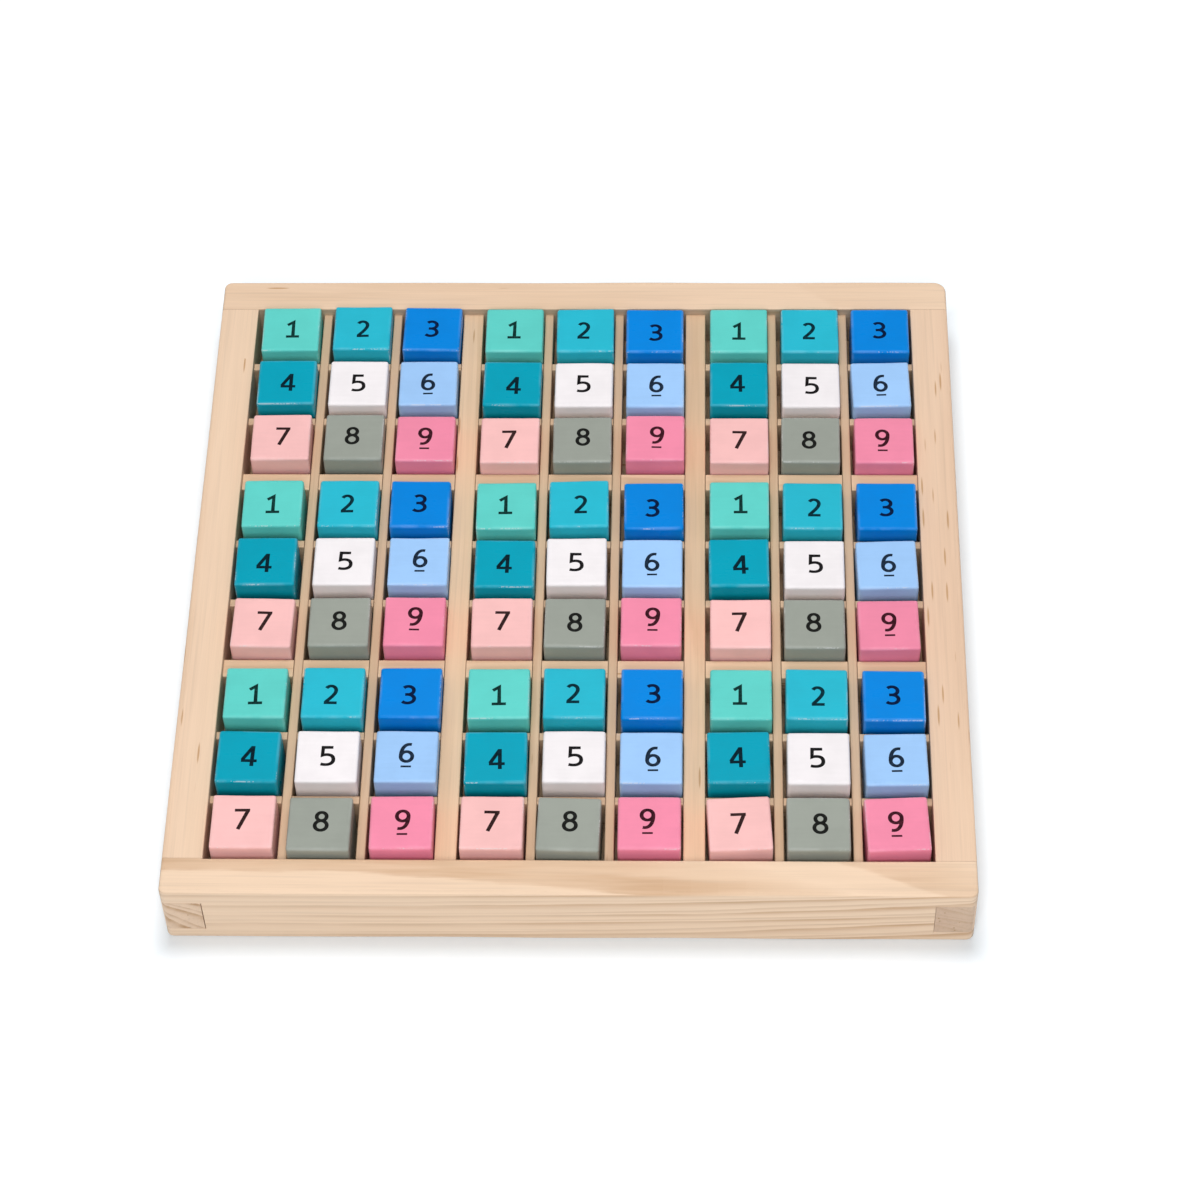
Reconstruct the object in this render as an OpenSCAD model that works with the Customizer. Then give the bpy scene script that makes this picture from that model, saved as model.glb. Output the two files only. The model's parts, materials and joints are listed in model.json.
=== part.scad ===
// Wooden sudoku board: a pine tray with bridle-jointed corners, an egg-crate grid of strips
// on a base panel, and a loose painted cube in every cell. Millimetres, +Z up, +Y to the back.
// The origin is the middle of the tray's underside.

/* [Cubes] */
// Side of each cube
cube_size = 20; // [16:0.5:25]
// Rounding of the cubes' edges
cube_round = 0.9; // [0.4:0.1:1.5]
// Free space on each side of a cube in its cell
cube_play = 0.9; // [0.5:0.1:1.5]

/* [Grid] */
// Thickness of the strips between single cells
thin_strip = 3; // [2:0.5:5]
// Thickness of the strips between the boxes of nine cells
thick_strip = 7; // [4:0.5:10]
// Height of the strips above the base panel
strip_height = 14; // [9:0.5:16]
// Rounding of the strips' top edges
strip_round = 0.5; // [0.2:0.1:0.9]
// Extra width of the cells along the rails
border_extra = 0.9; // [0.5:0.1:2]
// How far the grid sits to the right of the tray's middle
grid_shift = 0.35; // [-0.4:0.05:0.4]
// Free space on each side of a strip in a halving slot
lap_play = 0.1; // [0.05:0.05:0.25]

/* [Rails] */
// Width of the rails, seen from above
rail_width = 13; // [10:0.5:20]
// Height of the rails
rail_height = 26; // [25:0.5:36]
// Rounding of the rails' long edges
rail_round = 1.2; // [0.4:0.1:2]
// Rounding of the tray's upright corners
corner_round = 3; // [1:0.5:6]
// Height of the shoulder under each corner tongue
lower_lap = 5; // [3:0.5:8]
// Height of the shoulder above each corner tongue
upper_lap = 6; // [3:0.5:9]

/* [Base panel] */
// Thickness of the base panel
base_thick = 4; // [3:0.5:5.5]
// Height of the panel's underside above the table
base_lift = 5; // [3:0.5:7]
// Depth of the groove in the rails that holds the panel
groove_depth = 4; // [2:0.5:6]
// Free space at the panel's edges in the groove
groove_play = 0.5; // [0.2:0.1:1]

/* [Hidden] */
$fn = 48;

// Cells along each side, cells along each box, and what follows from them
side_cells = 9;
box_cells = 3;
boxes = side_cells / box_cells;
strips = side_cells - 1;

// Cutting tools reach this far past the faces they cut
over = 1;

cell_size = cube_size + 2 * cube_play;
grid_size = side_cells * cell_size + (boxes - 1) * thick_strip + (strips - boxes + 1) * thin_strip;
inner_size = grid_size + 2 * border_extra;
outer_size = inner_size + 2 * rail_width;
base_top = base_lift + base_thick;
lap_level = base_top + strip_height / 2;
tongue_height = rail_height - lower_lap - upper_lap;

// The most a cube can turn in its cell before its corners touch the strips
free_turn = asin(2 * cube_play / cube_size);

// How each cube lies in its cell, row by row from the back: slid right, slid back, turned left,
// each as a share of the free space or of the free turn
lies = [
    [[0.5, 0, 0.1], [0.8, 0.6, 0], [0.6, 0.1, -0.2], [0.7, -0.5, 0], [0.7, -0.5, 0.1],
     [0.2, -0.8, 0], [0.8, -0.8, 0], [0.8, -0.8, 0], [0.5, -0.8, 0]],
    [[0.7, 0.5, 0.1], [0.8, 0.1, 0], [0.3, 0, 0.1], [0.7, -0.2, -0.1], [0.7, -0.7, 0],
     [0.6, -0.8, 0], [0.7, -0.3, 0], [0.7, -0.8, 0], [0, -0.5, 0.3]],
    [[0.5, 0.7, 0.1], [0.8, 0.7, 0], [0.5, 0, 0], [0.7, -0.8, 0], [0.7, -0.5, 0.1],
     [0.8, 0.4, 0], [0.7, -0.8, 0], [0.2, -0.5, -0.1], [0.4, -0.7, 0]],
    [[-0.3, 0.5, 0.1], [0.6, 0.5, 0], [0.1, 0.2, 0], [0.4, -0.6, 0.1], [0.1, 0.4, 0.2],
     [0.6, -0.6, 0.1], [0.6, 0, 0], [0.4, -0.4, -0.1], [0.5, -0.5, 0]],
    [[-0.7, 0.6, 0.1], [0.6, 0.7, 0], [0.8, 0.7, 0], [0.8, -0.3, 0], [-0.2, 0.7, 0.1],
     [0.3, 0, 0], [0.3, 0.4, 0.1], [0.5, -0.4, 0], [-0.3, -0.4, 0.3]],
    [[0.2, 0, -0.2], [0.7, 0.4, 0.1], [0.7, 0.6, 0], [0.7, 0.3, 0.1], [-0.2, 0.2, -0.1],
     [0.1, 0.7, 0], [0.7, -0.1, 0], [0.1, -0.1, 0], [-0.5, -0.5, 0.2]],
    [[0, 0.5, 0], [0.5, 0.7, 0], [0.8, 0.6, 0], [0.7, 0.4, 0.1], [0.3, 0.7, 0],
     [0.7, 0.4, 0], [0.7, 0.3, 0], [0.3, 0.5, -0.1], [0.4, 0, 0]],
    [[-0.5, 0.3, -0.1], [0.2, 0.4, 0], [0.8, 0.5, 0], [0.6, 0.2, 0.1], [0.8, 0.7, 0],
     [0.7, 0.3, 0], [-0.3, 0.6, 0.2], [0.4, 0.3, 0], [0.3, -0.1, 0.2]],
    [[-0.2, 0.3, 0], [-0.7, -0.6, -0.1], [0.5, 0.1, 0.1], [0.2, 0.2, 0], [-0.4, -0.3, -0.3],
     [0.3, 0.3, 0], [-0.1, 0.2, 0.6], [-0.1, 0.2, 0], [-0.1, 0.3, 0.5]]
];

// Mint, turquoise, blue, teal, white, sky, blush, sage and pink paint for the numbers 1 to 9
paints = ["#6FD8C6", "#35B9D0", "#0A84E4", "#05A3B6", "#F3EFF1", "#A6CFFB", "#F9C3C2", "#9DA59B", "#F791AE"];
pine = "#EACFAE";
strip_pine = "#E0C198";
plywood = "#DDBB8C";

front_boxes = ["front_left", "front_middle", "front_right"];
numbers = [1 : box_cells * box_cells];

function front_cube_name(box, number) = str(front_boxes[box], "_cube_", number);

// Middle of cell i along one side of the grid, counted from 0
function cell_at(i) =
    -grid_size / 2 + cell_size / 2 + i * (cell_size + thin_strip)
    + floor(i / box_cells) * (thick_strip - thin_strip);

// Middle and thickness of strip i, which lies between cells i - 1 and i
function strip_at(i) = (cell_at(i - 1) + cell_at(i)) / 2;
function strip_thick(i) = i % box_cells == 0 ? thick_strip : thin_strip;

// Row within a box and column within a box of a number
function number_row(number) = floor((number - 1) / box_cells);
function number_column(number) = (number - 1) % box_cells;

module rounded_rectangle(width, height, radius) {
    square([width - 2 * radius, height], center = true);
    square([width, height - 2 * radius], center = true);
    for (x = [-1, 1], y = [-1, 1])
        translate([x * (width / 2 - radius), y * (height / 2 - radius)]) circle(radius);
}

// A rounded rectangle drawn across X and Z, or across Y and Z, and carried along the third axis
module along_y(length) rotate([90, 0, 0]) linear_extrude(length, center = true) children();
module along_x(length) rotate([90, 0, 90]) linear_extrude(length, center = true) children();

// Outside form of the whole tray, with its upright corners and long outer edges rounded
module tray_form() {
    intersection() {
        linear_extrude(rail_height) rounded_rectangle(outer_size, outer_size, corner_round);
        translate([0, 0, rail_height / 2])
            along_x(outer_size) rounded_rectangle(outer_size, rail_height, rail_round);
        translate([0, 0, rail_height / 2])
            along_y(outer_size) rounded_rectangle(outer_size, rail_height, rail_round);
    }
}

// Space that the base panel's groove takes out of the four rails
module panel_groove() {
    groove_size = inner_size + 2 * groove_depth;
    translate([-groove_size / 2, -groove_size / 2, base_lift]) cube([groove_size, groove_size, base_thick]);
}

// Rounds the top inner edge of a rail that lies in front of the opening
module inner_edge_cutter() {
    translate([0, -inner_size / 2, rail_height])
        along_x(inner_size) difference() {
            translate([-rail_round, -rail_round]) square(rail_round + over);
            translate([-rail_round, -rail_round]) circle(rail_round);
        }
}

// A rail that runs the tray's full width, forked at both ends around the side rails' tongues
module cross_rail() {
    difference() {
        intersection() {
            tray_form();
            translate([-outer_size / 2 - over, -outer_size / 2 - over, -over])
                cube([outer_size + 2 * over, rail_width + over, rail_height + 2 * over]);
        }
        for (side = [0, 1])
            mirror([side, 0, 0])
                translate([inner_size / 2, -outer_size / 2 - over, lower_lap])
                    cube([rail_width + over, rail_width + 2 * over, tongue_height]);
        panel_groove();
        inner_edge_cutter();
    }
}

// A rail between the cross rails, on the right, with a tongue through each of them
module side_rail() {
    difference() {
        intersection() {
            tray_form();
            translate([inner_size / 2, 0, 0]) {
                translate([0, -inner_size / 2, -over])
                    cube([rail_width + over, inner_size, rail_height + 2 * over]);
                translate([0, -outer_size / 2 - over, lower_lap])
                    cube([rail_width + over, outer_size + 2 * over, tongue_height]);
            }
        }
        panel_groove();
        rotate(90) inner_edge_cutter();
    }
}

module front_rail() color(pine) cross_rail();
module back_rail() color(pine) rotate(180) cross_rail();
module right_rail() color(pine) side_rail();
module left_rail() color(pine) rotate(180) side_rail();

module base_panel() {
    panel_size = inner_size + 2 * (groove_depth - groove_play);
    color(plywood)
        translate([-panel_size / 2, -panel_size / 2, base_lift]) cube([panel_size, panel_size, base_thick]);
}

// Section of a strip standing on the base panel, with its top edges rounded
module strip_section(thick) {
    translate([-thick / 2, base_top]) {
        square([thick, strip_height - strip_round]);
        translate([strip_round, 0]) square([thick - 2 * strip_round, strip_height]);
        for (x = [strip_round, thick - strip_round])
            translate([x, strip_height - strip_round]) circle(strip_round);
    }
}

// A strip from front to back, slotted from below over each cross strip
module long_strip(i) {
    color(strip_pine) difference() {
        translate([strip_at(i) + grid_shift, 0, 0]) along_y(inner_size) strip_section(strip_thick(i));
        for (k = [1 : strips]) {
            slot = strip_thick(k) + 2 * lap_play;
            translate([strip_at(i) + grid_shift, -strip_at(k), base_top - over])
                translate([-strip_thick(i) / 2 - over, -slot / 2, 0])
                    cube([strip_thick(i) + 2 * over, slot, lap_level - base_top + over + lap_play]);
        }
    }
}

// A strip from left to right, slotted from above under each lengthwise strip
module cross_strip(i) {
    color(strip_pine) difference() {
        translate([0, -strip_at(i), 0]) along_x(inner_size) strip_section(strip_thick(i));
        for (k = [1 : strips]) {
            slot = strip_thick(k) + 2 * lap_play;
            translate([strip_at(k) + grid_shift, -strip_at(i), lap_level])
                translate([-slot / 2, -strip_thick(i) / 2 - over, 0])
                    cube([slot, strip_thick(i) + 2 * over, strip_height]);
        }
    }
}

// A cube with its edges rounded along all three directions
module rounded_cube() {
    intersection() {
        linear_extrude(cube_size, center = true) rounded_rectangle(cube_size, cube_size, cube_round);
        along_x(cube_size) rounded_rectangle(cube_size, cube_size, cube_round);
        along_y(cube_size) rounded_rectangle(cube_size, cube_size, cube_round);
    }
}

// The cube of a number in one box, as it lies in its cell
module laid_cube(band, box, number) {
    row = band * box_cells + number_row(number);
    column = box * box_cells + number_column(number);
    lie = lies[row][column];
    color(paints[number - 1])
        translate([cell_at(column) + grid_shift, -cell_at(row), base_top + cube_size / 2])
            translate([lie[0] * cube_play, lie[1] * cube_play, 0])
                rotate(lie[2] * free_turn) rounded_cube();
}

// One cube of the front band of boxes
module front_cube(box, number) laid_cube(boxes - 1, box, number);

// The cubes of one number in the two bands behind
module rear_cubes(number) {
    for (band = [0 : boxes - 2], box = [0 : boxes - 1]) laid_cube(band, box, number);
}

front_rail();
back_rail();
left_rail();
right_rail();
base_panel();
for (i = [1 : strips]) {
    long_strip(i);
    cross_strip(i);
}
for (number = numbers) {
    for (box = [0 : boxes - 1])
        front_cube(box, number);
    rear_cubes(number);
}
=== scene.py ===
import json
import math

import bpy
import numpy as np
from mathutils import Matrix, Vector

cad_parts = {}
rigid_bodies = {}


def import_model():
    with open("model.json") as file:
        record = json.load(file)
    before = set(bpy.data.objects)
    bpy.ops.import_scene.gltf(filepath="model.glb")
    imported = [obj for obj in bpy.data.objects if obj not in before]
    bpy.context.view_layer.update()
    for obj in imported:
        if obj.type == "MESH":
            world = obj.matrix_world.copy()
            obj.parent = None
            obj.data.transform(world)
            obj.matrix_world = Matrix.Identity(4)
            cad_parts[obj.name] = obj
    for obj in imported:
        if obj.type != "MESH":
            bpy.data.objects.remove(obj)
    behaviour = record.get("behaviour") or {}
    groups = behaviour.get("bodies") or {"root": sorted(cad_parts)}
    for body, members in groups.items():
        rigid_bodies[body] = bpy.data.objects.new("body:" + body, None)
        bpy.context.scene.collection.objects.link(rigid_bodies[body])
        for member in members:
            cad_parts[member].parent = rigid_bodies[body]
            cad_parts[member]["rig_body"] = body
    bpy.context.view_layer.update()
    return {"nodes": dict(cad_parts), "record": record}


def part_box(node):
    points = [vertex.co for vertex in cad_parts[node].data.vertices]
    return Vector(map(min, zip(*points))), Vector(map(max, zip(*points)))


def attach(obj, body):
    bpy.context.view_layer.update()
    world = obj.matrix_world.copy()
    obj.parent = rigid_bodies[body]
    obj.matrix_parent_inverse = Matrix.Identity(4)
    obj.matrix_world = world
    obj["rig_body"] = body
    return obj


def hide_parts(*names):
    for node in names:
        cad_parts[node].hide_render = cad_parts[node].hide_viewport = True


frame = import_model()

# Base panel
# A square of thin plywood, sawn to size and slid into a groove of the four rails before they are glued.
# The strips and the cubes stand on it, so its underside shows and, from above, only slivers of it.
mm = 0.001
panel_low, panel_high = (np.array(corner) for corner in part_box("base_panel"))
panel_edge = 0.3 * mm
panel_edge_lines = 4
panel_rings_per_metre = (3.0, 38.0, 600.0)
edge_crowding = 1.5
crease = math.radians(32)
slot_of = {row["node"]: row["material_slot"] for row in frame["record"]["subparts"]}


def eased_lines(low, high, reach, steps, between=()):
    """Places of grid lines from low to high: steps of them within reach of each end, closer together
    towards the end, where edges are rounded, and the places given between."""
    offsets = reach * np.linspace(0, 1, steps) ** edge_crowding
    return np.unique(np.concatenate([low + offsets, between, high - offsets]))


def uncut(x, y, z):
    """True everywhere: the wood of a piece from which nothing is cut."""
    return np.isfinite(x)


def skin_of_cells(lines, has_wood):
    """The closed skin of the filled cells of an uneven grid. lines holds the places of the grid's planes
    along X, Y and Z, and has_wood tells from the cells' middles which are filled. Each wall between a
    filled and an empty cell is a quad that looks into the empty one. Returns the points, the quads and
    each quad's axis."""
    middles = [(line[1:] + line[:-1]) / 2 for line in lines]
    wood_cells = np.pad(has_wood(*np.meshgrid(*middles, indexing="ij")), 1).astype(int)
    shape = [len(line) for line in lines]
    step = np.eye(3, dtype=int)
    quads = []
    axes = []
    for axis in range(3):
        inside = [slice(1, -1)] * 3
        inside[axis] = slice(None)
        walls = np.diff(wood_cells, axis=axis)[tuple(inside)]
        for side in (1, -1):
            corner = np.argwhere(walls == -side)
            along = step[(axis + 1) % 3]
            across = step[(axis + 2) % 3]
            ring = [corner, corner + along, corner + along + across, corner + across][::side]
            quads.append(np.stack([np.ravel_multi_index(place.T, shape) for place in ring], axis=1))
            axes.append(np.full(len(corner), axis))
    used, numbered = np.unique(np.concatenate(quads), return_inverse=True)
    grid = np.stack(np.meshgrid(*lines, indexing="ij"), axis=-1).reshape(-1, 3)
    return grid[used], numbered.reshape(-1, 4), np.concatenate(axes)


def eased(points, low, high, radius):
    """Rounds the edges of the box from low to high. What a point reaches past the box shrunk by radius is
    cut to the length of its longest part, so square rings become round ones. Endless sides stay as they
    are."""
    core = np.clip(points, low + radius, high - radius)
    reach = points - core
    longest = np.abs(reach).max(axis=1, keepdims=True)
    length = np.linalg.norm(reach, axis=1, keepdims=True)
    return core + reach * np.divide(longest, length, out=np.ones_like(length), where=length > 0)


def make_piece(name, points, faces, material):
    """A smooth mesh object at the origin, with every edge sharper than the crease angle kept crisp."""
    mesh = bpy.data.meshes.new(name)
    mesh.from_pydata(points.tolist(), [], faces.tolist())
    mesh.shade_smooth()
    mesh.set_sharp_from_angle(angle=crease)
    mesh.materials.append(material)
    piece = bpy.data.objects.new(name, mesh)
    bpy.context.scene.collection.objects.link(piece)
    return piece


def mark(piece, name, values, domain="POINT"):
    """Stores a number or a vector at every point or face, for the material to read."""
    single = values.ndim == 1
    layer = piece.data.attributes.new(name, "FLOAT" if single else "FLOAT_VECTOR", domain)
    layer.data.foreach_set("value" if single else "vector", values.astype(np.float32).ravel())


def stand_for(piece, node):
    """The piece joins the body of a CAD node, keeping its place, and the node is hidden."""
    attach(piece, frame["nodes"][node]["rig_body"])
    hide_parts(node)


def colour(code):
    """A linear colour from a hex code as it shows on a screen, by the sRGB curve."""
    shown = np.array([int(code[i:i + 2], 16) for i in (1, 3, 5)]) / 255
    linear = np.where(shown <= 0.04045, shown / 12.92, ((shown + 0.055) / 1.055) ** 2.4)
    return (*linear.tolist(), 1.0)


def add(tree, kind, inputs, **settings):
    """Adds a shader node. settings are its properties, and inputs are values or other nodes' outputs."""
    node = tree.nodes.new(kind)
    for name, value in settings.items():
        setattr(node, name, value)
    for key, value in inputs.items():
        if isinstance(value, bpy.types.NodeSocket):
            tree.links.new(value, node.inputs[key])
        else:
            node.inputs[key].default_value = value
    return node


def calc(tree, operation, *values):
    """One step of arithmetic on numbers."""
    return add(tree, "ShaderNodeMath", dict(enumerate(values)), operation=operation).outputs[0]


def move(tree, operation, *values):
    """One step of arithmetic on vectors."""
    return add(tree, "ShaderNodeVectorMath", dict(enumerate(values)), operation=operation).outputs[0]


def ramp(tree, value, low, high, at_low=0.0, at_high=1.0):
    """A soft step from at_low to at_high as the value goes from low to high."""
    inputs = {0: value, 1: low, 2: high, 3: at_low, 4: at_high}
    return add(tree, "ShaderNodeMapRange", inputs, interpolation_type="SMOOTHSTEP").outputs[0]


def mix(tree, share, first, second, way="MIX"):
    """Two colours mixed, by the share of the second. The node's colours are its inputs 6 and 7."""
    inputs = {0: share, 6: first, 7: second}
    return add(tree, "ShaderNodeMix", inputs, data_type="RGBA", blend_type=way).outputs[2]


def shaded(tree, painted, shade):
    """A colour made lighter or darker by a factor."""
    even = add(tree, "ShaderNodeCombineColor", {0: shade, 1: shade, 2: shade}).outputs[0]
    return mix(tree, 1.0, painted, even, "MULTIPLY")


# The range of most of a noise's values, and the factors between which fibres and clouds shade a finish
usual_noise = (0.3, 0.7)
fine_shades = (0.965, 1.03)


def noise(tree, place, stretch, detail=2.0):
    """Cloudy noise with stretch clouds to a metre along each of the place's three directions."""
    inputs = {"Vector": move(tree, "MULTIPLY", place, stretch), "Scale": 1.0, "Detail": detail}
    return add(tree, "ShaderNodeTexNoise", inputs).outputs["Fac"]


def blend(tree, first, share, second, rest):
    """The sum of two numbers, each times its share."""
    return calc(tree, "MULTIPLY_ADD", first, share, calc(tree, "MULTIPLY", second, rest))


def shader_group(name, inputs, outputs):
    """A new shader node group with its named sockets. Returns the group, what comes in and where it goes
    out."""
    tree = bpy.data.node_groups.new(name, "ShaderNodeTree")
    for title, kind in inputs.items():
        tree.interface.new_socket(title, in_out="INPUT", socket_type="NodeSocket" + kind)
    for title, kind in outputs.items():
        tree.interface.new_socket(title, in_out="OUTPUT", socket_type="NodeSocket" + kind)
    return tree, tree.nodes.new("NodeGroupInput").outputs, tree.nodes.new("NodeGroupOutput").inputs


def new_material(name, gloss):
    """A new material. Returns it, its node tree and its shader, with the strength of its mirror set."""
    material = bpy.data.materials.new(name)
    material.use_nodes = True
    shader = material.node_tree.nodes["Principled BSDF"]
    shader.inputs["Specular IOR Level"].default_value = gloss
    return material, material.node_tree, shader


def dress(tree, shader, surface, depth, strength):
    """Gives the shader a surface's colour, its roughness and its height, as a bump of that depth."""
    relief = {"Height": surface["Height"], "Distance": depth, "Strength": strength}
    bump = add(tree, "ShaderNodeBump", relief)
    tree.links.new(surface["Color"], shader.inputs["Base Color"])
    tree.links.new(surface["Roughness"], shader.inputs["Roughness"])
    tree.links.new(bump.outputs["Normal"], shader.inputs["Normal"])


# Shares of a year ring, by which waves and fibres move its edge, and at which it and its false ring start
ring_wave = 0.22
ring_ruffle = 0.1
ring_start = 0.16
false_ring_start = 0.37
# Shares of a year ring between which the late wood grows and between which it stops
late_wood_grows = (0.3, 0.9)
late_wood_stops = (0.94, 1.0)
# Powers between which the false rings come up, and how strong they are then
false_rings_come = (0.6, 1.8)
false_ring_strength = 0.55
patchy_rings = (0.45, 1.0)
blotchy_flush = (0.6, 1.1)
resin_streaks_per_metre = (50, 600, 600)
resin_edge = (0.12, 0.26)
resin_in_flushed = 0.46
vein_edge = (0.5, 0.75)
vein_shade = 0.93
# How much darker the wood gets for a unit of darkening, both end grain and painted shade
lost_when_dulled = 0.2
late_wood_rise = 0.5
bare_wood_roughness = (0.66, 0.5)
bare_wood_gloss = 0.3
raised_grain = 0.06 * mm
raised_grain_strength = 0.5


def pine_figure_group():
    """Softwood. Place is a point's way along the grain, across it and up, and Rings counts the year rings
    to it. Each ring darkens slowly towards its late wood and ends abruptly, and waves and fibres ruffle
    that edge. Thinned is a power that narrows the late wood to lines, as on a face cut across the rings,
    where fainter false rings show between them, at twice the rings' count. Flushed wood is pinker and has
    more short resin streaks. The last input darkens cut ends, as darker end grain, and is also painted
    shade: it darkens the base panel, the faces down in the cells and the thin strips' tops."""
    tree, given, result = shader_group(
        "pine_figure",
        {"Place": "Vector", "Rings": "Float", "Figure": "Float", "Thinned": "Float", "Flushed": "Float",
         "Dulled": "Float", "Early Wood": "Color", "Late Wood": "Color", "Flush": "Color"},
        {"Color": "Color", "Roughness": "Float", "Height": "Float"})
    place = given["Place"]
    fine = noise(tree, place, (60, 2300, 2300), 3)
    coarse = noise(tree, place, (14, 420, 420), 2)
    fibre = blend(tree, coarse, 0.5, fine, 0.5)
    wave = noise(tree, place, (25, 70, 70), 4)
    rings = calc(tree, "MULTIPLY_ADD", wave, ring_wave, given["Rings"])
    ruffled = calc(tree, "MULTIPLY_ADD", fibre, ring_ruffle, calc(tree, "SUBTRACT", rings, ring_start))
    season = calc(tree, "FRACT", ruffled)
    halved = calc(tree, "FRACT", calc(tree, "MULTIPLY_ADD", season, 2.0, false_ring_start))
    lines = []
    for share in (season, halved):
        line = calc(tree, "POWER", ramp(tree, share, *late_wood_grows), given["Thinned"])
        lines.append(calc(tree, "MULTIPLY", line, ramp(tree, share, *late_wood_stops, 1.0, 0.0)))
    false_rings = ramp(tree, given["Thinned"], *false_rings_come, 0.0, false_ring_strength)
    late = calc(tree, "MAXIMUM", lines[0], calc(tree, "MULTIPLY", lines[1], false_rings))
    patchy = ramp(tree, noise(tree, place, (20, 240, 240)), *usual_noise, *patchy_rings)
    late = calc(tree, "MULTIPLY", late, calc(tree, "MULTIPLY", patchy, given["Figure"]))
    blotch = ramp(tree, noise(tree, place, (8, 60, 60)), *usual_noise, *blotchy_flush)
    pinker = calc(tree, "MULTIPLY", given["Flushed"], blotch)
    early = mix(tree, pinker, given["Early Wood"], given["Flush"])
    streaky = move(tree, "MULTIPLY", place, resin_streaks_per_metre)
    streaks = add(tree, "ShaderNodeTexVoronoi", {"Vector": streaky, "Scale": 1.0}).outputs
    bare = calc(tree, "MULTIPLY_ADD", given["Flushed"], -resin_in_flushed, 1.0)
    streaked = calc(tree, "GREATER_THAN", streaks["Color"], bare)
    resin = calc(tree, "MULTIPLY", ramp(tree, streaks["Distance"], *resin_edge, 1.0, 0.0), streaked)
    figured = mix(tree, calc(tree, "MAXIMUM", late, resin), early, given["Late Wood"])
    vein = ramp(tree, noise(tree, place, (16, 900, 900), 2), *vein_edge, 1.0, vein_shade)
    shade = calc(tree, "MULTIPLY", ramp(tree, fibre, *usual_noise, *fine_shades), vein)
    # Cut ends darken as end grain, and faces in the cells, the panel and thin strips' tops as painted shade
    dull = calc(tree, "MULTIPLY_ADD", given["Dulled"], -lost_when_dulled, 1.0)
    shade = calc(tree, "MULTIPLY", shade, dull)
    tree.links.new(shaded(tree, figured, shade), result["Color"])
    tree.links.new(ramp(tree, fibre, *usual_noise, *bare_wood_roughness), result["Roughness"])
    tree.links.new(calc(tree, "MULTIPLY_ADD", late, late_wood_rise, fibre), result["Height"])
    return tree


pine_figure = pine_figure_group()


def wood(name, early, late, flush):
    """Bare sanded softwood: matt, with slightly raised grain, and the figure that its pieces are marked
    with."""
    material, tree, shader = new_material(name, bare_wood_gloss)
    inputs = {"Early Wood": colour(early), "Late Wood": colour(late), "Flush": colour(flush)}
    for title in ("Place", "Rings", "Figure", "Thinned", "Flushed", "Dulled"):
        marked = add(tree, "ShaderNodeAttribute", {}, attribute_name=title.lower()).outputs
        inputs[title] = marked["Vector" if title == "Place" else "Fac"]
    surface = add(tree, "ShaderNodeGroup", inputs, node_tree=pine_figure).outputs
    dress(tree, shader, surface, raised_grain, raised_grain_strength)
    return material


def give_figure(piece, place, rings, **by_face):
    """Marks a wooden piece with what its material reads: place and rings for each point, and the rest,
    which are figure, thinned, flushed and the darkening of end grain and painted shade, for each face or
    as one number for all the faces."""
    mark(piece, "place", place)
    mark(piece, "rings", rings)
    for name, value in by_face.items():
        mark(piece, name, np.full(len(piece.data.polygons), 1.0) * value, "FACE")


plywood = wood("plywood", early="#E6CAA8", late="#B98F63", flush="#DDBB98")
panel_lines = [eased_lines(low, high, panel_edge, panel_edge_lines)
               for low, high in zip(panel_low, panel_high)]
panel_points, panel_quads, _ = skin_of_cells(panel_lines, uncut)
panel_shape = eased(panel_points, panel_low, panel_high, panel_edge)
panel = make_piece("plywood_base_panel", panel_shape, panel_quads, plywood)
panel_rings = panel_points @ panel_rings_per_metre
# The whole panel, its underside too, is darkened by painted shade, as the floor of the cells
give_figure(panel, panel_points, panel_rings, figure=0.35, thinned=1.2, flushed=0.4, dulled=1.0)
stand_for(panel, "base_panel")

# Rails
# Four lengths of pale pine. The front and back rails run through and are forked at their ends, the side
# rails' tongues are glued into the forks, and the frame was sanded flush and its edges eased by hand.
front_high = np.array(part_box("front_rail")[1])
outer = front_high[0]
inner = -front_high[1]
rail_height = front_high[2]
side_mesh = frame["nodes"]["right_rail"].data
side_points = np.zeros(3 * len(side_mesh.vertices))
side_mesh.vertices.foreach_get("co", side_points)
side_points = side_points.reshape(-1, 3)
tongue_heights = side_points[np.abs(side_points[:, 1]) > (inner + outer) / 2, 2]
tongue_low = tongue_heights.min()
tongue_high = tongue_heights.max()
groove_play = 0.5 * mm
groove_reach = panel_high[0] + groove_play
seam = 0.09 * mm
tongue_gap = {"left_rail": 0.3 * mm, "right_rail": 0.12 * mm}
arris_round = 0.9 * mm
inner_arris_share = 0.6
arris_reach = 1.3 * mm
arris_lines = arris_reach * np.linspace(0, 1, 7) ** edge_crowding
sanding_unevenness = 0.3
sanding_wave = 60 * mm
sanding_seed = 3
back_corners = {"left": 2.6 * mm, "right": 4.2 * mm}
front_corners = {"left": 2.2 * mm, "right": 2.6 * mm}


def waver(points, length, seed):
    """A smooth unevenness from -1 to 1: the mean of three sine waves of that length in directions drawn by
    seed."""
    draw = np.random.default_rng(seed)
    ways = draw.normal(size=(3, 3))
    ways /= np.linalg.norm(ways, axis=1, keepdims=True)
    phases = points @ ways.T * (2 * math.pi / length) + draw.uniform(0, 2 * math.pi, 3)
    return np.sin(phases).mean(axis=1)


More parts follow.
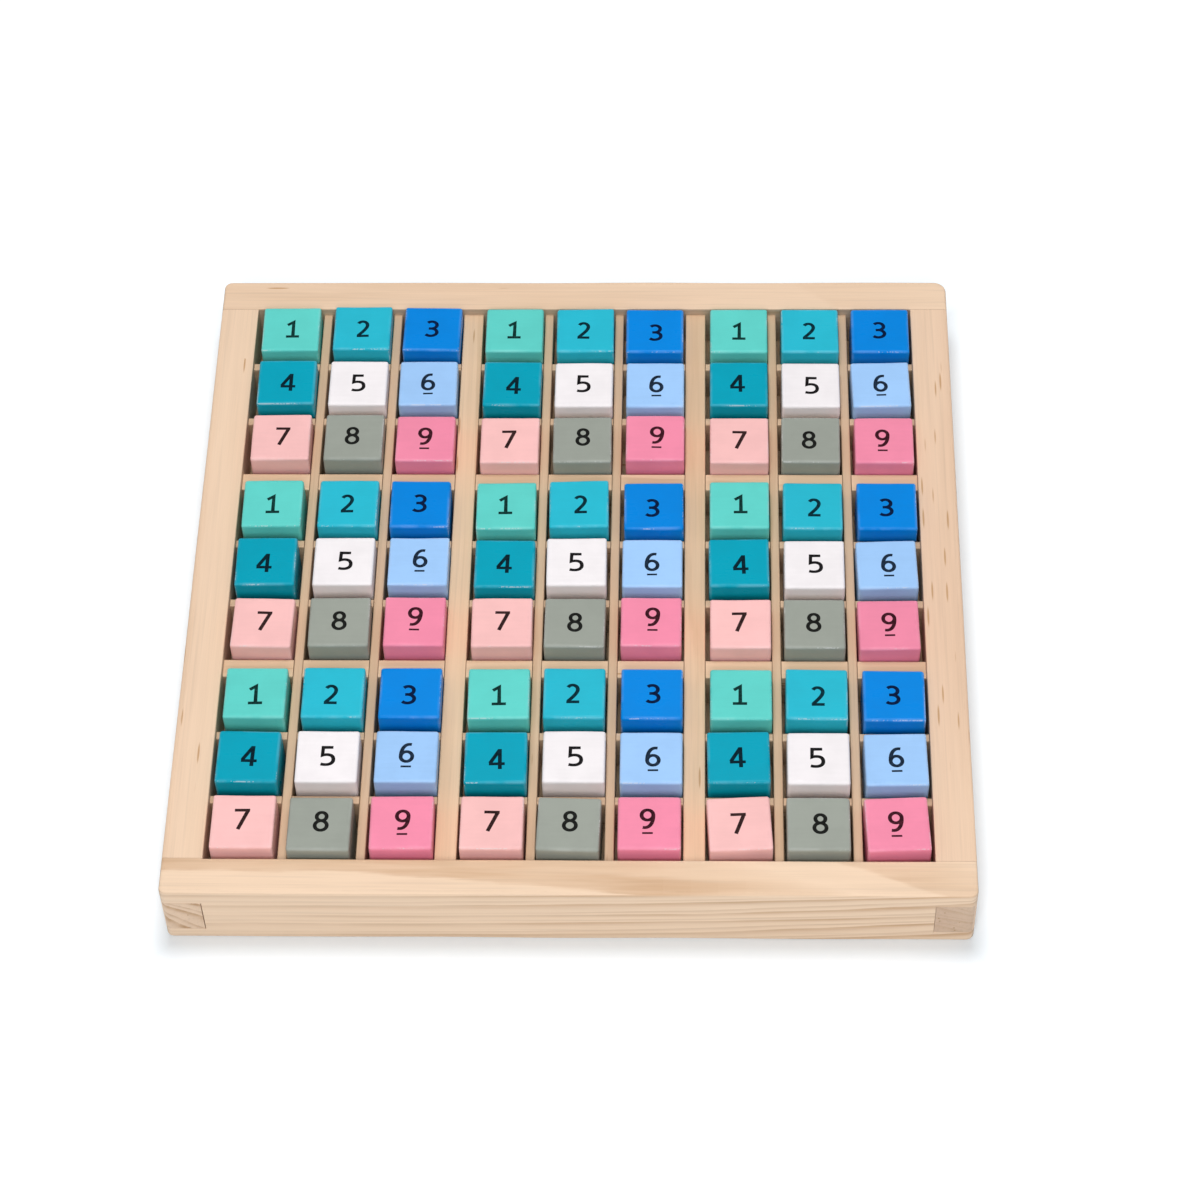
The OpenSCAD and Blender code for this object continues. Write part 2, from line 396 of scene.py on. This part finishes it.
def sanded(points):
    """The glued frame's edges after sanding. A point's square ring round the middle and its height make a
    flat picture, in which the outer and the inner edges are rounded by an uneven radius. The point moves
    to its ring's new reach, and last the upright corners are rounded in plan, each by its own radius."""
    reach = np.abs(points[:, :2]).max(axis=1)
    radius = arris_round * (1 + sanding_unevenness * waver(points, sanding_wave, sanding_seed))[:, None]
    section = np.stack([reach, points[:, 2]], axis=1)
    section = eased(section, np.array([-np.inf, 0]), np.array([outer, rail_height]), radius)
    inner_radius = inner_arris_share * radius
    section = eased(section, np.array([inner, -np.inf]), np.array([np.inf, rail_height]), inner_radius)
    plan = points[:, :2] * (section[:, :1] / reach[:, None])
    at_right = points[:, 0] > 0
    back_corner = np.where(at_right, back_corners["right"], back_corners["left"])
    front_corner = np.where(at_right, front_corners["right"], front_corners["left"])
    corner = np.where(points[:, 1] > 0, back_corner, front_corner)[:, None]
    plan = eased(plan, np.array([-outer, -outer]), np.array([outer, outer]), corner)
    return np.column_stack([plan, section[:, 1]])


def in_groove(x, y, z):
    """True where the base panel's groove is cut."""
    level = (z > panel_low[2]) & (z < panel_high[2])
    return (np.maximum(np.abs(x), np.abs(y)) < groove_reach) & level


def cross_rail_wood(x, y, z):
    """True where a front or back rail has wood: outside the forks' slots and the groove."""
    slot = (np.abs(x) > inner) & (z > tongue_low) & (z < tongue_high)
    return ~(slot | in_groove(x, y, z))


def side_rail_wood(x, y, z):
    """True where a side rail has wood: at full height between the cross rails, and in the tongues, which
    stand a little off the forks' inner wall."""
    gap = np.where(x < 0, tongue_gap["left_rail"], tongue_gap["right_rail"])
    tongue = (z > tongue_low + seam) & (z < tongue_high - seam) & (np.abs(x) > inner + gap)
    return (tongue | (np.abs(y) < inner - seam)) & ~in_groove(x, y, z)


# The grid lines across a rail, along it and up
rail_edge_reach = 5.5 * mm
rail_edge_lines = 11
plain_margin = 8 * mm
plain_lines = 26
level_lines = 14
fork_walls = [inner + gap for gap in tongue_gap.values()]
across_rail = eased_lines(inner, outer, rail_edge_reach, rail_edge_lines, [groove_reach, *fork_walls])
along_rail = np.linspace(-inner + plain_margin, inner - plain_margin, plain_lines)
rail_ends = np.concatenate([across_rail, inner + arris_lines, [inner - seam]])
rail_length = np.unique(np.concatenate([-rail_ends, along_rail, rail_ends]))
rail_levels = np.unique(np.concatenate([
    arris_lines, rail_height - arris_lines,
    [tongue_low, tongue_low + seam, tongue_high - seam, tongue_high, panel_low[2], panel_high[2]],
    np.linspace(0, rail_height, level_lines)]))

rail_pine = wood("rail_pine", early="#F1D4B7", late="#C69C74", flush="#E7C5A9")
# Painted shade: how much the faces that look into the cells, the rails' and the strips', are darkened
in_cell_dullness = 1.5
top_thinning = 0.45
side_thinning = 2.2
ring_unevenness = 0.12
uneven_rings = 2.3
faint_start = 0.4
fade_from = 0.6
fade_share = 0.55
rail_spacing = 10
# How steeply the rings climb along the rail, how they lean across it, their width, the count they start
# from, how strongly they show on the top, the sides and the ends, how flushed the rail is, how dull its
# ends are, and the power that thins the rings there
rail_figures = {
    "front_rail": dict(climb=0.5, lean=0.2, width=5.5 * mm, first=0.51, on_top=0.8, on_sides=0.85,
                       on_ends=0.6, flushed=0.08, end_dullness=1.0, end_thinning=4.0),
    "back_rail": dict(climb=0.5, lean=0.07, width=5.5 * mm, first=0.13, on_top=0.22, on_sides=0.5,
                      on_ends=0.6, flushed=0.3, end_dullness=1.0, end_thinning=4.0),
    "left_rail": dict(climb=0.0, lean=-0.65, width=8.0 * mm, first=0.5, on_top=0.13, on_sides=0.3,
                      on_ends=1.0, flushed=0.4, end_dullness=0.4, end_thinning=3.0),
    "right_rail": dict(climb=0.2, lean=-0.38, width=5.5 * mm, first=0.3, on_top=0.1, on_sides=0.3,
                       on_ends=0.4, flushed=0.9, end_dullness=1.0, end_thinning=7.0),
}


def rail_piece(node, climb, lean, width, first, on_top, on_sides, on_ends, flushed, end_dullness,
               end_thinning):
    """A rail as the skin of a grid, sanded with the frame. The height of a year ring grows with the cube
    of the way along the rail, times climb, and with the way across it, times lean, and the rings are
    uneven by a sine wave of the height. Along the rail they show more and more on the sides, and on the
    top they fade towards its end."""
    low = np.array(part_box(node)[0])
    lengthwise = 1 if node in ("left_rail", "right_rail") else 0
    sidewise = 1 - lengthwise
    places_across = np.sort(np.sign(low[sidewise]) * across_rail)
    lines = [places_across, places_across, rail_levels]
    lines[lengthwise] = rail_length
    points, quads, axes = skin_of_cells(lines, side_rail_wood if lengthwise == 1 else cross_rail_wood)
    rail = make_piece("pine_" + node, sanded(points), quads, rail_pine)
    way = points[:, lengthwise] - low[lengthwise]
    across = points[:, sidewise] - low[sidewise]
    uneven = ring_unevenness * np.sin(points[:, 2] * (2 * math.pi / (uneven_rings * width)))
    rings = (points[:, 2] - climb * way ** 3 - lean * across) / width + uneven + first
    ends = axes == lengthwise
    share = way[quads].mean(axis=1) / way.max()
    growing = faint_start + (1 - faint_start) * share
    fading = 1 - fade_share * np.clip((share - fade_from) / (1 - fade_from), 0, 1)
    figure = np.where(ends, on_ends, np.where(axes == 2, on_top * fading, on_sides * growing))
    thinned = np.where(ends, end_thinning, np.where(axes == 2, top_thinning, side_thinning))
    reach = np.abs(points[quads][:, :, sidewise]).max(axis=1)
    # Cut ends are darker end grain, and the inner faces that look into the cells get painted shade
    dulled = np.where(ends, end_dullness, in_cell_dullness * (reach < inner + seam))
    own_way = way + rail_spacing * low[0]
    own_place = np.column_stack([own_way, across + rail_spacing * low[1], points[:, 2]])
    give_figure(rail, own_place, rings, figure=figure, thinned=thinned, flushed=flushed, dulled=dulled)
    stand_for(rail, node)


for node, figure in rail_figures.items():
    rail_piece(node, **figure)

# Strips
# Pine laths, thin between single cells and thick between the boxes of nine; the thin ones' tops and all
# their sides carry painted shade. They are halved into each other like an egg crate, the lengthwise
# ones on top, and stand on the panel.
strip_edge = 0.5 * mm
strip_edge_reach = 0.7 * mm
strip_edge_lines = 6
strip_arris_share = 0.4
lap_play = 0.1 * mm
strip_numbers = range(1, 9)
thin_limit = 5 * mm
# Painted shade on the thin strips' tops, down between the cubes
thin_dullness = 0.75
strip_pine = wood("strip_pine", early="#E9C9A8", late="#BD946C", flush="#DFBA98")
strip_ring = 4.2 * mm
strip_spread = (3, 1, 1)
pith_aside = 50 * mm
pith_lowest = -80 * mm
pith_highest = -30 * mm
slant_limit = 6
strip_flush = (0.3, 0.7)


def strip_piece(node, crossing, lengthwise, slots_below):
    """A lath as the skin of a slotted grid, with its two top edges rounded. The slots are as wide as the
    crossing strips and their play, and half as deep as the lath is high, from below or from above. The
    year rings are circles about a pith below the lath, and slant along it."""
    low, high = (np.array(corner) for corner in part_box(node))
    sidewise = 1 - lengthwise
    lap = (low[2] + high[2]) / 2
    slots = np.array([[corner[lengthwise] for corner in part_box(other)] for other in crossing])
    slots += np.array([-lap_play, lap_play])

    def has_wood(x, y, z):
        """True outside the slots."""
        place = (x, y)[lengthwise][..., None]
        in_slot = ((place > slots[:, 0]) & (place < slots[:, 1])).any(axis=-1)
        return ~(in_slot & ((z < lap) if slots_below else (z > lap)))

    lines = [None, None, np.unique([low[2], lap, *(high[2] - arris_lines * strip_arris_share)])]
    lines[lengthwise] = np.unique(np.append(slots, [low[lengthwise], high[lengthwise]]))
    lines[sidewise] = eased_lines(low[sidewise], high[sidewise], strip_edge_reach, strip_edge_lines)
    points, quads, axes = skin_of_cells(lines, has_wood)
    round_low = np.full(3, -np.inf)
    round_low[sidewise] = low[sidewise]
    round_high = np.array(high)
    round_high[lengthwise] = np.inf
    shape = eased(points, round_low, round_high, strip_edge)
    strip = make_piece("pine_" + node, shape, quads, strip_pine)
    draw = np.random.default_rng(sum(map(ord, node)))
    own_place = points[:, [lengthwise, sidewise, 2]] + draw.uniform((0, 0, 0), strip_spread)
    pith = draw.uniform((low[sidewise] - pith_aside, pith_lowest),
                        (low[sidewise] + pith_aside, pith_highest))
    slant = draw.uniform(-slant_limit, slant_limit)
    from_pith = np.hypot(*(points[:, [sidewise, 2]] - pith).T)
    rings = from_pith / strip_ring + slant * points[:, lengthwise]
    thickness = high[sidewise] - low[sidewise]
    # Thin strips' tops get painted shade, thick ones none
    on_top = thin_dullness if thickness < thin_limit else 0.0
    # The strips' sides, down in the cells, get painted shade
    dulled = np.where(axes == 2, on_top, in_cell_dullness)
    flushed = draw.uniform(*strip_flush)
    give_figure(strip, own_place, rings, figure=0.3, thinned=1.2, flushed=flushed, dulled=dulled)
    stand_for(strip, node)


long_strips = [f"long_strip_{i}" for i in strip_numbers]
cross_strips = [f"cross_strip_{i}" for i in strip_numbers]
for node in long_strips:
    strip_piece(node, cross_strips, lengthwise=1, slots_below=True)
for node in cross_strips:
    strip_piece(node, long_strips, lengthwise=0, slots_below=False)

# Cubes
# Beech cubes, sawn, tumbled until their edges are round and dipped in satin paint, a colour to each
# number. They lie loose in their cells, each a little off the middle. Their edges are rubbed and chipped
# paler, which is wear and also paints the highlights along them.
cells_across = len(long_strips) + 1
cube_round = 0.9 * mm
cube_reach = 1.3 * mm
cube_edge_lines = 6
cube_unevenness = 0.25
cube_wave = 17 * mm
cube_tones = (0.97, 1.03)
upright_limit = 0.01
# The distances from an edge between which rubbing and chips, wear and painted highlights both, fade out,
# and how strong they are before that
rubbed_reach = (0.2 * mm, 1.2 * mm)
rubbed_share = 0.35
chipped_reach = (0.15 * mm, 0.5 * mm)
chipped_share = 0.8
# The values of two noises between which the paint begins to be rubbed, and to be chipped: paler edges
# that are wear and also painted highlights
rubbed_begins = (0.35, 0.65)
chipped_begins = (0.56, 0.6)
# Rubbed paint is mixed with white, and a chip shows the ground coat, white with some of the paint in it.
# Both paler edges also stand for painted highlights on the rounded edges.
rubbed_white = 0.2
chip_white = 0.45
chip_paint = 0.45
paint_gloss = 0.08
paint_roughness = (0.36, 0.26)
chip_roughness = 0.3
paint_relief = 0.03 * mm
paint_relief_strength = 0.2


def middles_of(nodes, axis):
    """The nodes' middles along one axis."""
    return np.array([sum(corner[axis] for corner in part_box(node)) / 2 for node in nodes])


def cubes_in(node):
    """How the cubes of a node lie, from its triangles: each cube's triangles lie in one cell of the
    strips, their middle is the cube's, and four times a side face's angle points the same way on all four
    sides. Returns each cube's row, column, middle and turn."""
    faces = frame["nodes"][node].data.polygons
    centres = np.zeros(3 * len(faces))
    normals = np.zeros(3 * len(faces))
    areas = np.zeros(len(faces))
    faces.foreach_get("center", centres)
    faces.foreach_get("normal", normals)
    faces.foreach_get("area", areas)
    centres = centres.reshape(-1, 3)
    normals = normals.reshape(-1, 3)
    column = np.searchsorted(middles_of(long_strips, 0), centres[:, 0])
    row = np.searchsorted(-middles_of(cross_strips, 1), -centres[:, 1])
    cells, cell = np.unique(row * cells_across + column, return_inverse=True)
    weight = np.bincount(cell, areas)
    places = [np.bincount(cell, areas * centres[:, axis]) / weight for axis in range(3)]
    aside = areas * (np.abs(normals[:, 2]) < upright_limit)
    quarter = 4 * np.arctan2(normals[:, 1], normals[:, 0])
    sines = np.bincount(cell, aside * np.sin(quarter))
    cosines = np.bincount(cell, aside * np.cos(quarter))
    turns = np.arctan2(sines, cosines) / 4
    return [(*divmod(int(c), cells_across), place, turn)
            for c, place, turn in zip(cells, np.stack(places, axis=1), turns)]


def satin_paint_group():
    """Satin paint dipped over wood. Mottled a little, with the wood's grain and a fine orange peel in it.
    Along the edges, by Edge, the distance from the nearest one, the paint is thin and paler, and
    chipped: partly wear, and partly painted highlights along the rounded edges."""
    tree, given, result = shader_group(
        "satin_paint",
        {"Place": "Vector", "Edge": "Float", "Tone": "Float",
         "Paint": "Color", "Rubbed": "Color", "Chip": "Color"},
        {"Color": "Color", "Roughness": "Float", "Height": "Float"})
    place = given["Place"]
    peel = noise(tree, place, (700, 700, 700), 2)
    grain = noise(tree, place, (60, 900, 900), 2)
    cloud = noise(tree, place, (120, 120, 120), 3)
    mottle = blend(tree, cloud, 0.75, grain, 0.25)
    shade = calc(tree, "MULTIPLY", ramp(tree, mottle, *usual_noise, *fine_shades), given["Tone"])
    painted = shaded(tree, given["Paint"], shade)
    # Rubbed, paler edges: wear, and painted highlights along the edges
    near = ramp(tree, given["Edge"], *rubbed_reach, 1.0, 0.0)
    rub = calc(tree, "MULTIPLY", near, ramp(tree, cloud, *rubbed_begins, 0.0, rubbed_share))
    painted = mix(tree, rub, painted, given["Rubbed"])
    # Chips of pale ground coat: wear, and painted glints along the edges
    crumb = noise(tree, place, (1700, 1700, 1700), 2)
    worn = noise(tree, place, (90, 90, 90), 2)
    chance = blend(tree, worn, 0.6, crumb, 0.4)
    close = ramp(tree, given["Edge"], *chipped_reach, 1.0, 0.0)
    chip = calc(tree, "MULTIPLY", ramp(tree, chance, *chipped_begins, 0.0, chipped_share), close)
    tree.links.new(mix(tree, chip, painted, given["Chip"]), result["Color"])
    whole = ramp(tree, mottle, *usual_noise, *paint_roughness)
    tree.links.new(calc(tree, "MULTIPLY_ADD", chip, chip_roughness, whole), result["Roughness"])
    rise = blend(tree, grain, 0.5, peel, 0.5)
    tree.links.new(calc(tree, "SUBTRACT", rise, chip), result["Height"])
    return tree


satin_paint = satin_paint_group()


def paint(name, code):
    """One of the nine paints: its rubbed edges are paler, and its chips show the white ground coat; both are
    wear and also painted highlights.
    """
    material, tree, shader = new_material(name, paint_gloss)
    solid = np.array(colour(code))
    inputs = {
        "Place": add(tree, "ShaderNodeTexCoord", {}).outputs["Object"],
        "Edge": add(tree, "ShaderNodeAttribute", {}, attribute_name="edge").outputs["Fac"],
        "Tone": add(tree, "ShaderNodeAttribute", {}, attribute_name="tone").outputs["Fac"],
        "Paint": tuple(solid),
        "Rubbed": tuple(solid * (1 - rubbed_white) + rubbed_white),
        "Chip": tuple(solid * chip_paint + chip_white),
    }
    coat = add(tree, "ShaderNodeGroup", inputs, node_tree=satin_paint).outputs
    dress(tree, shader, coat, paint_relief, paint_relief_strength)
    return material


paint_codes = {
    "mint_paint": "#63D4CB", "turquoise_paint": "#2ABAD1", "blue_paint": "#0086E0",
    "teal_paint": "#00A1BA", "white_paint": "#F4EFF1", "sky_paint": "#A2CCFB",
    "blush_paint": "#F9C2C0", "sage_paint": "#9CA198", "pink_paint": "#F48EAB",
}
paints = {slot: paint(slot, code) for slot, code in paint_codes.items()}
cube_nodes = [node for node in slot_of if slot_of[node] in paints]
single_low, single_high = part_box("front_left_cube_1")
cube_half = (single_high.z - single_low.z) / 2
cube_corner = np.full(3, cube_half)
cube_face_lines = np.linspace(-cube_half, cube_half, 11)[2:-2]
cube_line = eased_lines(-cube_half, cube_half, cube_reach, cube_edge_lines, cube_face_lines)
cube_grid, cube_quads, _ = skin_of_cells([cube_line] * 3, uncut)
# A point's distance from the nearest edge is the middle one of its distances from the three nearest faces
edge_distance = np.sort(cube_half - np.abs(cube_grid), axis=1)[:, 1]
cubes = [(node, *lie) for node in cube_nodes for lie in cubes_in(node)]


def cube_piece(node, row, column, place, turn):
    """One cube: a box with unevenly rounded edges, turned about its middle and put in its place."""
    seed = row * cells_across + column
    draw = np.random.default_rng(seed)
    uneven = cube_round * (1 + cube_unevenness * waver(cube_grid, cube_wave, seed))[:, None]
    shape = eased(cube_grid, -cube_corner, cube_corner, uneven)
    turning = np.array(Matrix.Rotation(turn, 3, "Z"))
    name = f"painted_cube_row{row + 1}_column{column + 1}"
    cube = make_piece(name, shape @ turning.T + place, cube_quads, paints[slot_of[node]])
    mark(cube, "edge", edge_distance)
    mark(cube, "tone", np.full(len(cube_grid), draw.uniform(*cube_tones)))
    stand_for(cube, node)


for cube_lie in cubes:
    cube_piece(*cube_lie)

# Numbers
# Each cube's number is printed on its top in thin dark ink, a little off the middle and not quite
# straight. The six and the nine have a line under them, to be told apart whichever way they lie.
digit_height = 7.75 * mm
drawn_height = 7.4
drawn_underline = [(-1.6, -1.35), (1.6, -1.35)]
thin_stroke = 1.1 * mm
thick_stroke = 1.28 * mm
line_stroke = 0.72 * mm
arc_points = 33
curve_points = 17
ink_rise = 0.02 * mm
ink_depth = 0.03 * mm
ink_top_share = 0.96
layer_rise = 0.002 * mm
usual_back = -0.4 * mm
printed_back = {5: 0.2 * mm, 6: 0.7 * mm, 7: 0.3 * mm, 8: 0.4 * mm, 9: 1.2 * mm}
print_seed = 500
print_turn = 1.5
print_shift = 0.6 * mm
ink_black = "#040405"
ink_roughness = 0.5
ink_gloss = 0.03
# The share of the paint that shows through, the noise's values between which it grows, and its factors there
paint_through = 0.07
patch_edge = (0.35, 0.7)
patch_least = 0.6
patch_most = 1.5
fuller_hue = 1.5


def arc(x, y, half_width, half_height, start, end):
    """Points along an ellipse about x, y, between two angles in degrees anticlockwise from the right."""
    angle = np.radians(np.linspace(start, end, arc_points))
    return np.stack([x + half_width * np.cos(angle), y + half_height * np.sin(angle)], axis=1)


def curve(start, pull, tow, end):
    """Points along a cubic curve that leaves start towards pull and comes into end from tow."""
    share = np.linspace(0, 1, curve_points)[:, None]
    rest = 1 - share
    return (rest ** 3 * np.array(start) + 3 * rest ** 2 * share * np.array(pull)
            + 3 * rest * share ** 2 * np.array(tow) + share ** 3 * np.array(end))


def ribbon(path, closed, widths):
    """A flat-topped band of ink along a path, as a four-cornered section carried from point to point. At
    a bend the section stands on the mean of the two sides' normals, lengthened so that the band keeps its
    width. widths are those of a level and of an upright stroke."""
    ends = path[np.r_[1:len(path), 0]] - path
    ways = ends / np.linalg.norm(ends, axis=1, keepdims=True)
    before = np.roll(ways, 1, axis=0)
    if not closed:
        ways[-1] = ways[-2]
        before[0] = ways[0]
    sides = np.stack([-ways[:, 1], ways[:, 0]], axis=1)
    sides_before = np.stack([-before[:, 1], before[:, 0]], axis=1)
    mitre = (sides + sides_before) / (1 + (sides * sides_before).sum(axis=1, keepdims=True))
    upright = np.abs(ways[:, 1:] + before[:, 1:]) / 2
    half = (widths[0] + (widths[1] - widths[0]) * upright) / 2
    section = np.array([[-1.0, -ink_depth], [-ink_top_share, ink_rise],
                        [ink_top_share, ink_rise], [1.0, -ink_depth]])
    flat = path[:, None, :] + mitre[:, None, :] * half[:, None, :] * section[None, :, :1]
    height = np.broadcast_to(section[None, :, 1:], (*flat.shape[:2], 1))
    points = np.concatenate([flat, height], axis=2).reshape(-1, 3)
    ring = np.arange(4)
    following = (ring + 1) % 4
    start = np.arange(len(path) if closed else len(path) - 1)[:, None] * 4
    after = (start + 4) % len(points)
    quads = np.stack([start + ring, after + ring, after + following, start + following], axis=2)
    quads = quads.reshape(-1, 4)[:, ::-1]
    if not closed:
        quads = np.concatenate([quads, [ring, ring[::-1] + len(points) - 4]])
    return points, quads


def digit_paths(number):
    """The strokes of a plain sans digit, each a path on a body of the drawn height and whether it
    closes."""
    if number == 1:
        flag = [(-1.65, 5.6), (0.3, 6.9), (0.3, 0.5)]
        return [(flag, False), ([(-2.0, 0.52), (2.4, 0.52)], False)]
    if number == 2:
        shoulder = np.concatenate([arc(-0.12, 5.22, 1.62, 1.66, 150, -15),
                                   curve((1.44, 4.79), (1.15, 3.6), (-0.1, 2.3), (-1.5, 0.8))[1:]])
        return [(shoulder, False), ([(-2.0, 0.55), (2.0, 0.55)], False)]
    if number == 3:
        upper = arc(-0.2, 5.3, 1.75, 1.53, 140, -90)
        lower = arc(-0.3, 2.15, 2.05, 1.62, 90, -142)
        return [(upper, False), (lower, False), ([(-1.1, 3.77), (-0.1, 3.77)], False)]
    if number == 4:
        stem = [(0.95, 0.0), (0.95, 7.35)]
        slope = [(0.85, 7.0), (-2.05, 2.25)]
        bar = [(-2.4, 1.95), (2.45, 1.95)]
        return [(stem, False), (slope, False), (bar, False)]
    if number == 5:
        hook = np.concatenate([[(1.75, 6.85), (-1.35, 6.85), (-1.45, 3.95)],
                               curve((-1.45, 3.95), (-0.7, 4.3), (1.95, 4.6), (1.95, 2.35))[1:],
                               curve((1.95, 2.35), (1.95, 0.8), (0.3, 0.1), (-1.9, 0.75))[1:]])
        return [(hook, False)]
    if number == 6:
        bowl = arc(0.02, 2.3, 1.77, 1.8, 180, 540)[:-1]
        stem = curve((1.45, 6.72), (-0.7, 7.25), (-1.78, 5.0), (-1.75, 2.3))
        return [(bowl, True), (stem, False)]
    if number == 7:
        return [([(-2.3, 6.83), (2.35, 6.83)], False), ([(1.7, 6.6), (-0.95, 0.0)], False)]
    if number == 8:
        upper = arc(0, 5.42, 1.5, 1.47, -90, 270)[:-1]
        lower = arc(0, 2.2, 1.82, 1.7, 90, 450)[:-1]
        return [(upper, True), (lower, True)]
    return [((0.0, drawn_height) - path, closed) for path, closed in digit_paths(6)]


def digit_mesh(number):
    """The strokes of a digit, and its underline where it has one, as ribbons about the middle of its body.
    Each stroke lies a hair above the one before, so that no two tops share a plane."""
    drawing = digit_height / drawn_height
    strokes = [(np.array(path, float) * drawing, closed, (thin_stroke, thick_stroke))
               for path, closed in digit_paths(number)]
    if number in (6, 9):
        strokes.append((np.array(drawn_underline) * drawing, False, (line_stroke, line_stroke)))
    points = np.zeros((0, 3))
    quads = np.zeros((0, 4), int)
    for layer, (path, closed, widths) in enumerate(strokes):
        band, band_quads = ribbon(path, closed, widths)
        quads = np.concatenate([quads, band_quads + len(points)])
        points = np.concatenate([points, band + (0, -digit_height / 2, layer_rise * layer)])
    return points, quads


def ink(name, code):
    """Thin print on one of the paints: black, with a little of the paint's own hue showing through in
    patches, the less the paler the paint is. The hue is a power of the paint's colour, which is fuller."""
    material, tree, shader = new_material(name, ink_gloss)
    shader.inputs["Roughness"].default_value = ink_roughness
    place = add(tree, "ShaderNodeTexCoord", {}).outputs["Object"]
    hue = np.array(colour(code)) ** fuller_hue
    share = paint_through * (1 - min(colour(code)))
    patches = noise(tree, place, (900, 900, 900), 3)
    through = ramp(tree, patches, *patch_edge, patch_least * share, patch_most * share)
    tree.links.new(mix(tree, through, colour(ink_black), tuple(hue)), shader.inputs["Base Color"])
    return material


inks = {slot: ink("ink_on_" + slot, code) for slot, code in paint_codes.items()}


def number_piece(node):
    """The prints on all the cubes of a node, each turned with its cube and a little by itself."""
    number = int(node.rsplit("_", 1)[1])
    digit_points, digit_quads = digit_mesh(number)
    digit_points = digit_points + (0, printed_back.get(number, usual_back), 0)
    points = []
    for _, row, column, place, turn in [lie for lie in cubes if lie[0] == node]:
        draw = np.random.default_rng(print_seed + row * cells_across + column)
        own_turn = math.radians(draw.uniform(-print_turn, print_turn))
        turning = np.array(Matrix.Rotation(turn + own_turn, 3, "Z"))
        on_top = np.append(draw.uniform(-print_shift, print_shift, 2), cube_half)
        points.append(digit_points @ turning.T + place + on_top)
    quads = [digit_quads + len(digit_points) * i for i in range(len(points))]
    print_ink = inks[slot_of[node]]
    prints = make_piece("number_on_" + node, np.concatenate(points), np.concatenate(quads), print_ink)
    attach(prints, frame["nodes"][node]["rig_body"])


for node in cube_nodes:
    number_piece(node)

# Floor, light and camera
# A white sweep in a pale room, one large softbox overhead and one in front, and a long lens looking down
# at the board from the player's side. To the camera the floor and room are white, apart from the shadow,
# which the floor's glow deepens near the board into a painted contact shadow.
floor_half = 3.0
floor_colour = (0.86, 0.92, 0.97, 1)
floor_roughness = 0.9
room_level = 0.33
# The floor's glow, kept low at the board's foot to paint a contact shadow, rises to the end of that
# painted shadow, narrower at the sides, and again far away
contact_glow = 0.04
open_glow = 0.28
far_glow = 0.7
shadow_width = 16 * mm
narrower_at_sides = 4 * mm
far_start = 0.15
far_end = 1.1


def seen_directly(tree):
    """1 for a ray that comes from the camera, a mirror or glass, and 0 for light that falls on the
    object."""
    path = add(tree, "ShaderNodeLightPath", {}).outputs
    seen = calc(tree, "MAXIMUM", path["Is Camera Ray"], path["Is Glossy Ray"])
    return calc(tree, "MAXIMUM", seen, path["Is Transmission Ray"])


floor_material, floor_tree, floor_shader = new_material("white_floor", gloss=0.0)
floor_shader.inputs["Base Color"].default_value = floor_colour
floor_shader.inputs["Roughness"].default_value = floor_roughness
floor_place = move(floor_tree, "ABSOLUTE", add(floor_tree, "ShaderNodeTexCoord", {}).outputs["Object"])
floor_ways = add(floor_tree, "ShaderNodeSeparateXYZ", {0: floor_place}).outputs
way_aside = calc(floor_tree, "ADD", floor_ways["X"], narrower_at_sides)
floor_way = calc(floor_tree, "MAXIMUM", way_aside, floor_ways["Y"])
# The glow is low near the board's foot: a painted contact shadow on the floor
near_glow = ramp(floor_tree, floor_way, outer, outer + shadow_width, contact_glow, open_glow)
rising_glow = ramp(floor_tree, floor_way, far_start, far_end, 0.0, far_glow)
floor_glow = calc(floor_tree, "ADD", near_glow, rising_glow)
glow_strength = calc(floor_tree, "MULTIPLY", seen_directly(floor_tree), floor_glow)
glow = add(floor_tree, "ShaderNodeEmission", {"Strength": glow_strength})
both = add(floor_tree, "ShaderNodeAddShader", {0: floor_shader.outputs[0], 1: glow.outputs[0]})
floor_tree.links.new(both.outputs[0], floor_tree.nodes["Material Output"].inputs["Surface"])
floor_corners = np.array([[-1, -1, 0], [1, -1, 0], [1, 1, 0], [-1, 1, 0]]) * floor_half
floor = make_piece("floor", floor_corners, np.array([[0, 1, 2, 3]]), floor_material)

world = bpy.data.worlds.new("pale_room")
bpy.context.scene.world = world
world.use_nodes = True
room_tree = world.node_tree
room_strength = ramp(room_tree, seen_directly(room_tree), 0.0, 1.0, room_level, 1.0)
room_tree.links.new(room_strength, room_tree.nodes["Background"].inputs["Strength"])
room_tree.nodes["Background"].inputs["Color"].default_value = (1, 1, 1, 1)


def turned(degrees, axis):
    """A turn about one axis."""
    return Matrix.Rotation(math.radians(degrees), 4, axis)


def softbox(name, azimuth, elevation, distance, size, power):
    """A square lamp that looks at the board's middle from an angle round it and an angle above the
    floor."""
    lamp = bpy.data.lights.new(name, "AREA")
    lamp.size = size
    lamp.energy = power
    box = bpy.data.objects.new(name, lamp)
    outwards = Matrix.Translation((0, 0, distance))
    box.matrix_world = turned(azimuth, "Z") @ turned(90 - elevation, "X") @ outwards
    bpy.context.scene.collection.objects.link(box)


softbox("overhead_softbox", azimuth=180, elevation=80, distance=1.2, size=0.45, power=6.2)
softbox("front_softbox", azimuth=0, elevation=45, distance=1.3, size=0.5, power=6.5)

camera_place = (0.040, -0.702, 0.946)
camera_turn = 2.645
camera_pitch = 53.15
camera_roll = -1.985
lens = bpy.data.cameras.new("camera")
lens.sensor_width = 36
lens.lens = 104.2
camera = bpy.data.objects.new("camera", lens)
camera.matrix_world = (Matrix.Translation(camera_place) @ turned(camera_turn, "Z")
                       @ turned(90 - camera_pitch, "X") @ turned(camera_roll, "Z"))
bpy.context.scene.collection.objects.link(camera)
bpy.context.scene.camera = camera
bpy.context.scene.view_settings.view_transform = "Standard"
